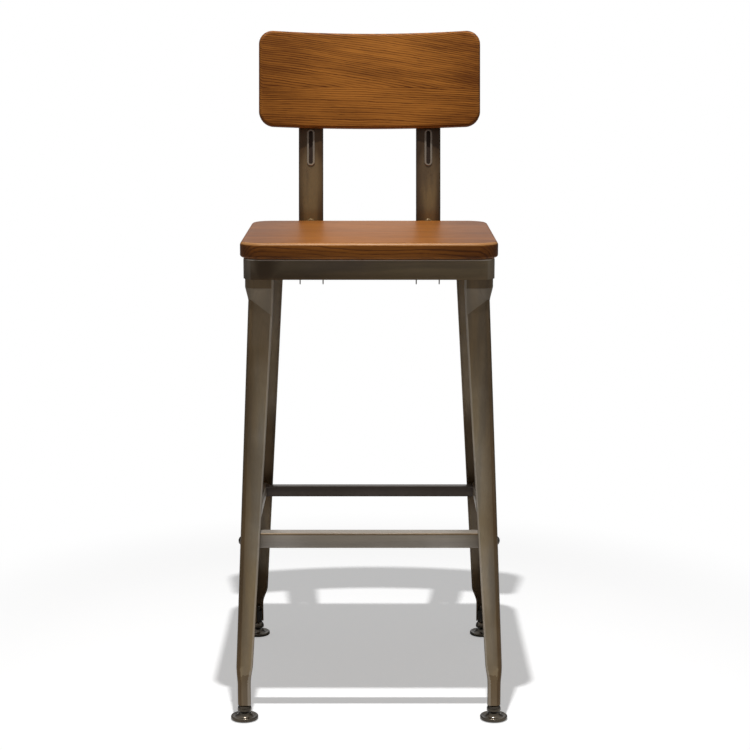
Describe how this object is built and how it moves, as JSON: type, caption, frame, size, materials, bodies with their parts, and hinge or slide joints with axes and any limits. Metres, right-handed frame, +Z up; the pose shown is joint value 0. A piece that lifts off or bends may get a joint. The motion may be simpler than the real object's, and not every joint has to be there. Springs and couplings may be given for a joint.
{
  "type": "bar stool",
  "caption": "Bar stool with a flat wooden seat, a curved wooden back on slotted steel uprights, splayed pressed-steel legs, a square-tube footrest ring and swivel levelling glides.",
  "frame": {"origin": "on the floor, under the centre of the whole stool's bounding box", "axes": "+Z up, -Y to the front where the sitter's knees are, +X to the right as seen from the front"},
  "size_m": [0.454, 0.492, 1.0868],
  "materials": {
    "wood": "satin lacquer",
    "steel_patina": "dark bronze patina under clear lacquer",
    "glide_steel": "glossy dark bronze",
    "plain_steel": "zinc plated",
    "brass": "machined",
    "liner_plastic": "matt",
    "pad_rubber": "matt"
  },
  "bodies": {
    "frame": {"seat_board": "wood", "seat_pan": "steel_patina", "upright_left": "steel_patina", "upright_right": "steel_patina", "footrest_front": "steel_patina", "footrest_rear": "steel_patina", "footrest_left": "steel_patina", "footrest_right": "steel_patina", "footrest_bolts": "steel_patina", "leg_front_left": "steel_patina", "foot_plug_front_left": "plain_steel", "leg_front_right": "steel_patina", "foot_plug_front_right": "plain_steel", "leg_rear_left": "steel_patina", "foot_plug_rear_left": "plain_steel", "leg_rear_right": "steel_patina", "foot_plug_rear_right": "plain_steel", "seat_screws": "plain_steel", "footrest_plugs": "plain_steel", "upright_bolts": "plain_steel", "upright_washers": "plain_steel", "upright_spacers": "plain_steel", "upright_nuts": "plain_steel"},
    "backrest": {"backrest_board": "wood", "clamp_strip_left": "steel_patina", "clamp_strip_right": "steel_patina", "backrest_bolts": "plain_steel", "backrest_washers": "plain_steel", "backrest_inserts": "brass"},
    "stud_front_left": {"foot_stud_front_left": "glide_steel"},
    "liner_front_left": {"foot_liner_front_left": "liner_plastic"},
    "glide_front_left": {"foot_base_front_left": "glide_steel", "foot_pad_front_left": "pad_rubber"},
    "stud_front_right": {"foot_stud_front_right": "glide_steel"},
    "liner_front_right": {"foot_liner_front_right": "liner_plastic"},
    "glide_front_right": {"foot_base_front_right": "glide_steel", "foot_pad_front_right": "pad_rubber"},
    "stud_rear_left": {"foot_stud_rear_left": "glide_steel"},
    "liner_rear_left": {"foot_liner_rear_left": "liner_plastic"},
    "glide_rear_left": {"foot_base_rear_left": "glide_steel", "foot_pad_rear_left": "pad_rubber"},
    "stud_rear_right": {"foot_stud_rear_right": "glide_steel"},
    "liner_rear_right": {"foot_liner_rear_right": "liner_plastic"},
    "glide_rear_right": {"foot_base_rear_right": "glide_steel", "foot_pad_rear_right": "pad_rubber"}
  },
  "joints": [
    {"name": "backrest_height", "type": "slide", "parent": "frame", "child": "backrest", "axis": [0, 0.1736, 0.9848], "range_m": [-0.012, 0.012]},
    {"name": "level_front_left", "type": "slide", "parent": "frame", "child": "stud_front_left", "axis": [0, 0, -1], "range_m": [0, 0.01]},
    {"name": "tilt_front_left", "type": "hinge", "parent": "stud_front_left", "child": "liner_front_left", "pos_m": [-0.2, -0.224, 0.0085], "axis": [1, 0, 0], "range_deg": [-10, 10]},
    {"name": "roll_front_left", "type": "hinge", "parent": "liner_front_left", "child": "glide_front_left", "pos_m": [-0.2, -0.224, 0.0085], "axis": [0, 1, 0], "range_deg": [-10, 10]},
    {"name": "level_front_right", "type": "slide", "parent": "frame", "child": "stud_front_right", "axis": [0, 0, -1], "range_m": [0, 0.01]},
    {"name": "tilt_front_right", "type": "hinge", "parent": "stud_front_right", "child": "liner_front_right", "pos_m": [0.2, -0.224, 0.0085], "axis": [1, 0, 0], "range_deg": [-10, 10]},
    {"name": "roll_front_right", "type": "hinge", "parent": "liner_front_right", "child": "glide_front_right", "pos_m": [0.2, -0.224, 0.0085], "axis": [0, 1, 0], "range_deg": [-10, 10]},
    {"name": "level_rear_left", "type": "slide", "parent": "frame", "child": "stud_rear_left", "axis": [0, 0, -1], "range_m": [0, 0.01]},
    {"name": "tilt_rear_left", "type": "hinge", "parent": "stud_rear_left", "child": "liner_rear_left", "pos_m": [-0.205, 0.216, 0.0085], "axis": [1, 0, 0], "range_deg": [-10, 10]},
    {"name": "roll_rear_left", "type": "hinge", "parent": "liner_rear_left", "child": "glide_rear_left", "pos_m": [-0.205, 0.216, 0.0085], "axis": [0, 1, 0], "range_deg": [-10, 10]},
    {"name": "level_rear_right", "type": "slide", "parent": "frame", "child": "stud_rear_right", "axis": [0, 0, -1], "range_m": [0, 0.01]},
    {"name": "tilt_rear_right", "type": "hinge", "parent": "stud_rear_right", "child": "liner_rear_right", "pos_m": [0.205, 0.216, 0.0085], "axis": [1, 0, 0], "range_deg": [-10, 10]},
    {"name": "roll_rear_right", "type": "hinge", "parent": "liner_rear_right", "child": "glide_rear_right", "pos_m": [0.205, 0.216, 0.0085], "axis": [0, 1, 0], "range_deg": [-10, 10]}
  ]
}
